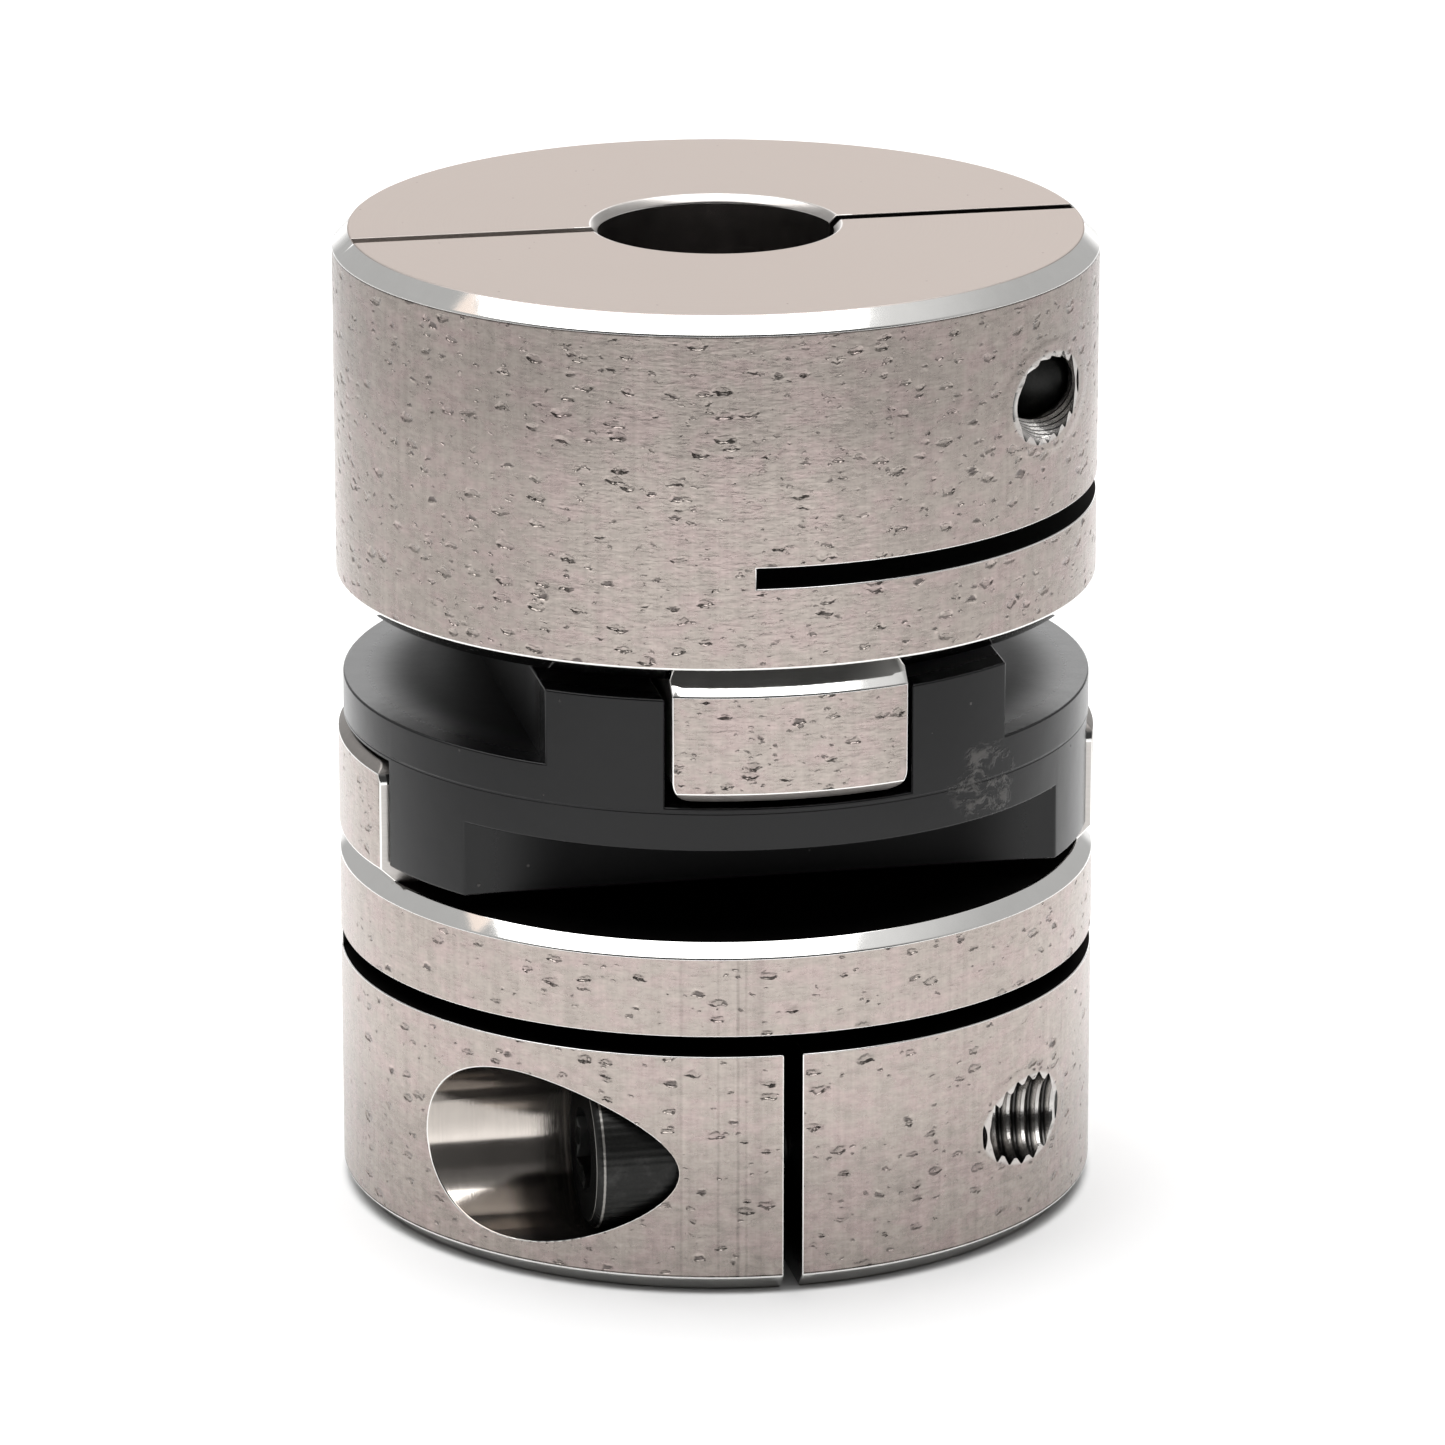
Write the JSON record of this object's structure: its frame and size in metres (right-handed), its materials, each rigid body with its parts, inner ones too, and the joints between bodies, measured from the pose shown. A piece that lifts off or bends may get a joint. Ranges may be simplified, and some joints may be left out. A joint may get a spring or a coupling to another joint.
{
  "type": "oldham shaft coupling with clamp hubs",
  "caption": "Oldham coupling: aluminium clamp hubs turned a quarter turn apart on a slotted black acetal disc, each closed by a socket head cap screw.",
  "frame": {"origin": "centre of the disc, on the common bore axis, midway between the two hub end faces", "axes": "+Z along the bore axis towards the upper hub; X along the lower hub's tenon, with its screw head towards -X and its clamp slit towards -Y; the upper hub's tenon runs along Y and its clamp slit faces +X"},
  "size_m": [0.0412, 0.0412, 0.0536],
  "materials": {
    "machined_aluminium": "turned bar, tumbled: satin outside with small pits and nicks, fine-turned end faces, bright chamfers",
    "black_acetal": "moulded black acetal, smooth and slightly glossy, with a fine parting line",
    "black_oxide_steel": "black oxide on alloy steel, satin, knurled head"
  },
  "bodies": {
    "lower_hub": {"lower_hub": "machined_aluminium"},
    "disc": {"center_disc": "black_acetal"},
    "upper_hub": {"upper_hub": "machined_aluminium"},
    "lower_screw": {"lower_clamp_screw": "black_oxide_steel"},
    "upper_screw": {"upper_clamp_screw": "black_oxide_steel"}
  },
  "joints": [
    {"name": "disc_slide", "type": "slide", "parent": "lower_hub", "child": "disc", "axis": [1, 0, 0], "range_m": [-0.0015, 0.0015]},
    {"name": "upper_hub_slide", "type": "slide", "parent": "disc", "child": "upper_hub", "axis": [0, 1, 0], "range_m": [-0.0015, 0.0015]},
    {"name": "lower_screw_turn", "type": "hinge", "parent": "lower_hub", "child": "lower_screw", "pos_m": [0, -0.015, -0.02], "axis": [-1, 0, 0], "range_deg": [0, 540]},
    {"name": "upper_screw_turn", "type": "hinge", "parent": "upper_hub", "child": "upper_screw", "pos_m": [0.015, 0, 0.02], "axis": [0, 1, 0], "range_deg": [0, 540]}
  ]
}
